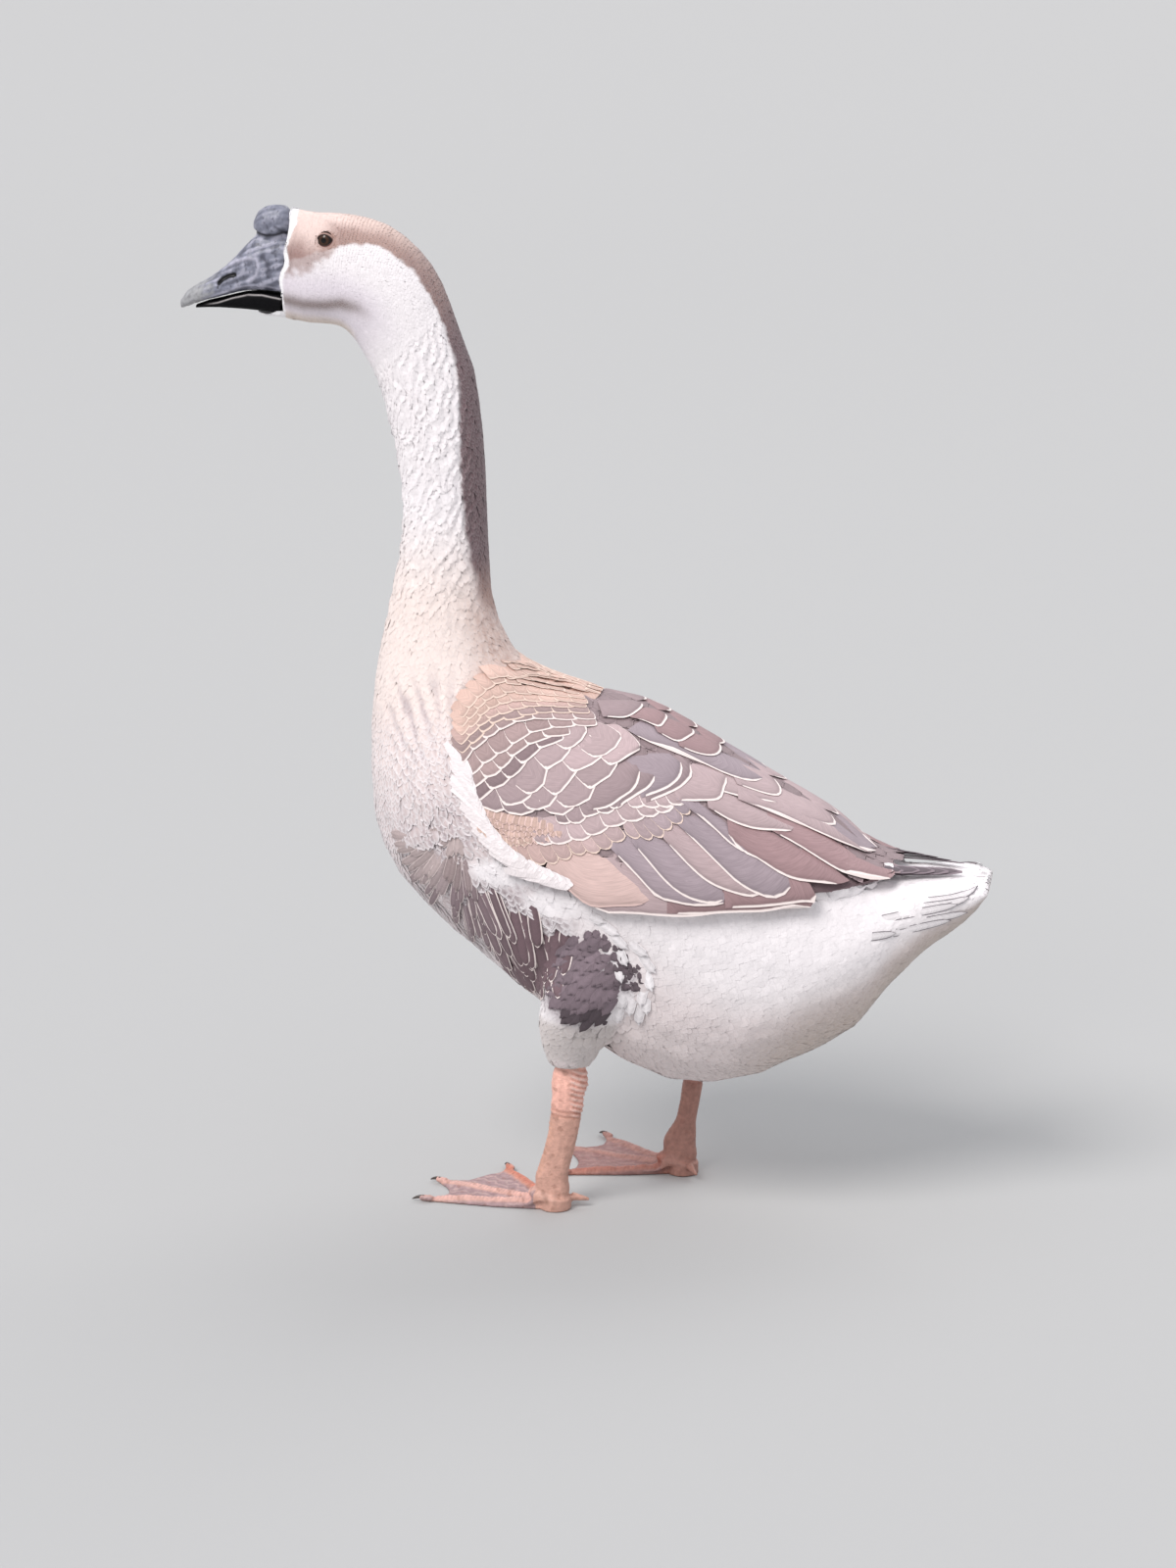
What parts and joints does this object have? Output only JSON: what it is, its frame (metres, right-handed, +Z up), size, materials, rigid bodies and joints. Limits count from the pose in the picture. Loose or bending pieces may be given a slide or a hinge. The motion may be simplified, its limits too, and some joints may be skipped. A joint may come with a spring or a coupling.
{
  "type": "african goose",
  "caption": "Standing knob-billed goose with a raised slender neck, folded wings, a deep pale belly and webbed feet, one a step behind the other; a still, life-size model.",
  "frame": {"origin": "on the ground, at the middle of the rectangle that the standing bird covers", "axes": "+Z up; the bill points to -X and the tail to +X; the bird's left side is at -Y"},
  "size_m": [0.664, 0.258, 0.8222],
  "materials": {
    "head_plumage": "matte short feathers",
    "neck_plumage": "matte furrowed feathers",
    "body_plumage": "matte feathers",
    "tail_plumage": "matte feathers",
    "wing_plumage": "matte pale-edged feathers",
    "thigh_plumage": "matte soft feathers",
    "bill_skin": "satin horny skin",
    "eye": "wet gloss",
    "leg_skin": "scaled skin",
    "claw_horn": "satin horn"
  },
  "bodies": {
    "root": {"claw_inner_l": "claw_horn", "claw_inner_r": "claw_horn", "claw_middle_l": "claw_horn", "claw_middle_r": "claw_horn", "claw_outer_l": "claw_horn", "claw_outer_r": "claw_horn", "eye_l": "eye", "eye_r": "eye", "foot_l": "leg_skin", "foot_r": "leg_skin", "head": "head_plumage", "hind_toe_l": "leg_skin", "hind_toe_r": "leg_skin", "knob": "bill_skin", "lower_bill": "bill_skin", "neck": "neck_plumage", "quill_tips_l": "wing_plumage", "quill_tips_r": "wing_plumage", "shank_l": "leg_skin", "shank_r": "leg_skin", "tail": "tail_plumage", "thigh_l": "thigh_plumage", "thigh_r": "thigh_plumage", "trunk": "body_plumage", "upper_bill": "bill_skin", "wing_l": "wing_plumage", "wing_r": "wing_plumage"}
  },
  "joints": []
}
